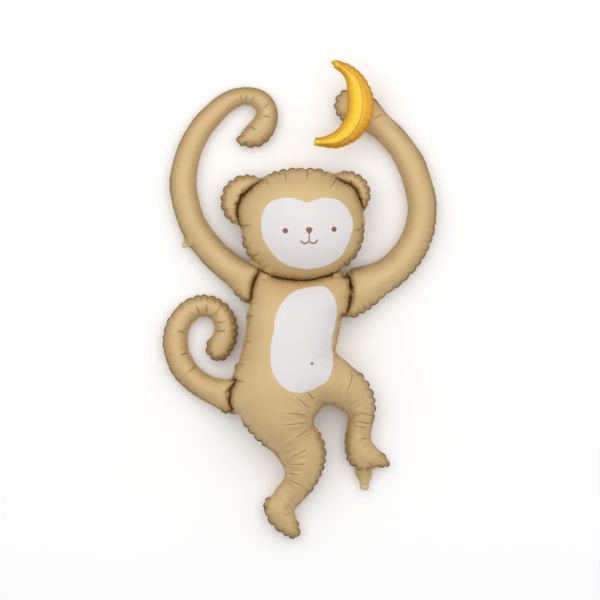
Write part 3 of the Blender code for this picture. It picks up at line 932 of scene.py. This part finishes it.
def stroke(x, y, first, last):
    """One along a thin straight stroke between two places, nothing off it."""
    start, end = np.array(at(*first)), np.array(at(*last))
    length = float(np.linalg.norm(end - start))
    run = (end - start) / length
    along = (x - start[0]) * run[0] + (y - start[1]) * run[1]
    across = ((x - start[0]) * run[1] - (y - start[1]) * run[0]).size()
    away = across + ((along - length / 2).size() - length / 2).most(0.0)
    return away.rise(0.0034, 0.0008)


def tan_foil():
    """Satin tan foil with the face and the belly printed on its front, and painted shade at its
    seams, welds, creases and folds.
    """
    made, skin, v = material("tan_foil")
    x, y, _ = v.attribute("seen", "Vector").parts()
    front = v.attribute("front").rise(0.4, 0.6)
    where = v.node("TexCoord", {}, {}, "Object")
    edge = v.attribute("edge")
    weld = v.attribute("weld_gap")
    ragged = (v.noise(where, 420.0) - 0.5) * 0.0008
    face = (v.attribute("face_gap") + ragged).rise(-0.0004, 0.0008)
    belly = (v.attribute("belly_gap") + ragged).rise(-0.0004, 0.0008)
    white = face.most(belly) * front

    cloud = v.noise(where, 9.0, 3.0)
    tan = paint(v, cloud.rise(0.35, 0.65), TAN_LOW, TAN_HIGH)
    # painted shade: narrow limbs darker than the wide chambers
    tan = paint(v, v.attribute("depth").rise(0.055, 0.012) * 0.30, tan, TAN_NARROW_SHADE)
    # painted shade along the seam, where the foil turns away from the light
    shade = edge.rise(0.020, 0.002) * (v.attribute("outer") * 0.75 + 0.10)
    tan = paint(v, shade, tan, TAN_SEAM_SHADE)
    # painted shade beside the welds and darker in their grooves, with less of it under the chin
    cx, cy = at(*CHIN)
    plain = 1 - (((x - cx) ** 2.0 + (y - cy) ** 2.0) ** 0.5).rise(0.110, 0.070) * 0.85
    tan = paint(v, weld.rise(0.0190, 0.0) * (plain * 0.3 + 0.4), tan, WELD_SIDE_SHADE)
    tan = paint(v, weld.rise(0.0068, 0.0010) * 0.8 * plain, tan, WELD_GROOVE_SHADE)
    # painted shade in the creases beyond the welds' open ends
    crease_shade = stroke(x, y, *CREASES[0][:2])
    for line in CREASES:
        for first, last in zip(line[:-1], line[1:]):
            crease_shade = crease_shade.most(stroke(x, y, first, last))
    tan = paint(v, crease_shade * front * 0.75, tan, CREASE_SHADE)
    # painted shade in the folds
    tan = paint(v, v.attribute("fold").rise(0.2, 0.85) * 0.6, tan, FOLD_SHADE)
    tab = v.attribute("tab").rise(0.3, 0.7)
    for spot, radius in LUGS:
        tab = tab.most(dot(x, y, spot, radius))
    # grey dashes on the rim at each scallop's bulge: the grey flange foil with painted shade
    dash = edge.rise(0.0034, 0.0018) * v.attribute("beat").rise(0.3, 0.65) * (1 - tab)
    tan = paint(v, dash * v.attribute("pucker") * 0.8, tan, RIM_GREY_AND_SHADE)
    tan = paint(v, tab * 0.85, tan, TAB_TAN)
    base = paint(v, white, tan, WHITE_PRINT)

    eyes = dot(x, y, *EYES[0]).most(dot(x, y, *EYES[1]))
    cx, cy = at(*NOSE)
    down = (cy - y) / (NOSE_SIZE[1] * PIXEL)
    across = (x - cx) / (1 - down * NOSE_TAPER) / (NOSE_SIZE[0] * PIXEL)
    nose = (across ** 2.0 + down ** 2.0).rise(1.12, 0.80)
    low = at(NOSE[0], STEM_END)[1]
    stem = (x - cx).size().rise(0.0018, 0.0008) * (y - low).rise(0.0, 0.0008)
    mouth = stem * (y - cy).rise(0.0, -0.001)
    for arc in SMILES:
        mouth = mouth.most(smile(x, y, *arc))
    for share, ink in ((eyes, EYE_PRINT), (nose, NOSE_PRINT), (mouth, MOUTH_PRINT),
                       (dot(x, y, *NAVEL), NAVEL_PRINT)):
        base = paint(v, share * front, base, ink)

    crumple = v.noise(where, 95.0, 3.0, 0.55) * 0.6 + v.noise(where, 260.0, 2.0, 0.5) * 0.4
    bump = v.node("Bump", {}, {"Strength": 0.10, "Distance": 0.0016, "Height": crumple}, "Normal")
    feed(v, skin, {"Base Color": base, "Metallic": (1 - white) * 0.13,
                   "Roughness": 0.48 + cloud * 0.06 + white * 0.04, "Normal": bump})
    return made


def yellow_foil():
    """Shiny yellow foil with the banana's printed shading and ridge, and painted shade at its
    seam and rim.
    """
    made, skin, v = material("yellow_foil")
    front = v.attribute("front").rise(0.4, 0.6)
    where = v.node("TexCoord", {}, {}, "Object")
    edge = v.attribute("edge")
    ridge = v.attribute("ridge_gap")
    cloud = v.noise(where, 14.0, 3.0)
    # orange towards the seam: the print's orange edge with painted shade
    yellow = paint(v, edge.rise(0.001, 0.016), YELLOW_SEAM_PRINT_AND_SHADE, YELLOW)
    yellow = paint(v, ridge.rise(-0.001, 0.010) * 0.75, yellow, YELLOW_SIDE)
    yellow = paint(v, cloud.rise(0.5, 0.7) * 0.3, yellow, YELLOW_CLOUD)
    x, y, _ = v.attribute("seen", "Vector").parts()
    tips = dot(x, y, *TIPS[0]).most(dot(x, y, *TIPS[1])) * front
    yellow = paint(v, tips * 0.8, yellow, YELLOW_TIP)
    line = ridge.size().rise(0.0030, 0.0012) * front * 0.8
    yellow = paint(v, line, yellow, RIDGE_PRINT)
    # painted shade in dashes on the rim at each scallop's bulge
    dash = edge.rise(0.0024, 0.0010) * v.attribute("beat").rise(0.25, 0.6)
    yellow = paint(v, dash * v.attribute("pucker") * 0.4, yellow, YELLOW_DASH_SHADE)
    crumple = v.noise(where, 120.0, 3.0, 0.55)
    bump = v.node("Bump", {}, {"Strength": 0.08, "Distance": 0.0012, "Height": crumple}, "Normal")
    feed(v, skin, {"Base Color": yellow, "Metallic": 0.22, "Roughness": 0.33 + cloud * 0.08,
                   "Normal": bump})
    return made


AMBIENT = 0.50  # light from all round
# each lamp: its place, its two sides and its power in watts
LIGHTS = (("overhead_light", (0.0, 0.95, 3.4), (6.0, 5.0), 112.0),
          ("left_light", (-2.6, 0.8, 1.8), (1.6, 2.4), 10.0),
          ("right_light", (2.6, 0.4, 1.8), (1.4, 2.4), 8.0))


def studio():
    """A plain pale floor, soft light from all round, and a camera straight above."""
    floor = bpy.data.meshes.new("floor")
    floor.from_pydata([(-6, -6, 0), (6, -6, 0), (6, 6, 0), (-6, 6, 0)], [], [(0, 1, 2, 3)])
    floor = bpy.data.objects.new("floor", floor)
    made, skin, v = material("floor_paint")
    where = v.node("TexCoord", {}, {}, "Object")
    shade = v.noise(where, 1.5, 2.0)
    base = paint(v, shade, colour(250, 250, 250), colour(252, 252, 252))
    feed(v, skin, {"Base Color": base, "Roughness": 0.9, "Specular IOR Level": 0.1})
    floor.data.materials.append(made)
    floor.location.z = -0.0005
    stage = [floor]

    for name, place, size, power in LIGHTS:
        lamp = bpy.data.lights.new(name, "AREA")
        lamp.shape = "RECTANGLE"
        lamp.size, lamp.size_y = size
        lamp.energy = power
        lamp = bpy.data.objects.new(name, lamp)
        lamp.location = place
        lamp.rotation_euler = (-Vector(place)).to_track_quat("-Z", "Y").to_euler()
        lamp.visible_camera = False
        stage.append(lamp)

    camera = bpy.data.cameras.new("camera")
    camera.sensor_width = 36
    camera.lens = 36 * CAMERA_HIGH / (FRAME_PX * PIXEL)
    camera.clip_end = 40
    camera = bpy.data.objects.new("camera", camera)
    x, y = at(FRAME_PX / 2, FRAME_PX / 2)
    camera.location = (x, y, CAMERA_HIGH + OUTLINE_HIGH)
    stage.append(camera)
    for thing in stage:
        bpy.context.scene.collection.objects.link(thing)
    bpy.context.scene.camera = camera

    world = bpy.data.worlds.new("world")
    world.use_nodes = True
    world.node_tree.nodes["Background"].inputs["Color"].default_value = (1, 1, 1, 1)
    world.node_tree.nodes["Background"].inputs["Strength"].default_value = AMBIENT
    bpy.context.scene.world = world
    bpy.context.scene.view_settings.view_transform = "Standard"


def main():
    """Builds both balloons, dresses them and lights them."""
    lo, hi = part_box("banana")
    m, monkey = foil_balloon("monkey", MONKEY_FINE, True, 0.0, (lo, hi), lo[2] - HAND_GAP)
    for name, outline in (("face_gap", FACE), ("belly_gap", BELLY)):
        put(monkey.data, name, np.tile(depth_in(outline, m["seen"]), 2))
    _, d = nearest(np.vstack(m["welds"]), m["plan"])
    put(monkey.data, "weld_gap", np.tile(d, 2))
    monkey.data.materials.append(tan_foil())

    m, banana = foil_balloon("banana", BANANA_FINE, False, lo[2], None, NO_LID)
    ridge = smooth_through([at(*p) for p in BANANA_LINE], LINE_STEP, False)
    near, d = nearest(ridge, m["seen"])
    ahead = np.gradient(ridge, axis=0)[near]
    off = m["seen"] - ridge[near]
    outer = np.sign(ahead[:, 1] * off[:, 0] - ahead[:, 0] * off[:, 1])
    put(banana.data, "ridge_gap", np.tile(-outer * d, 2))
    banana.data.materials.append(yellow_foil())

    studio()


main()
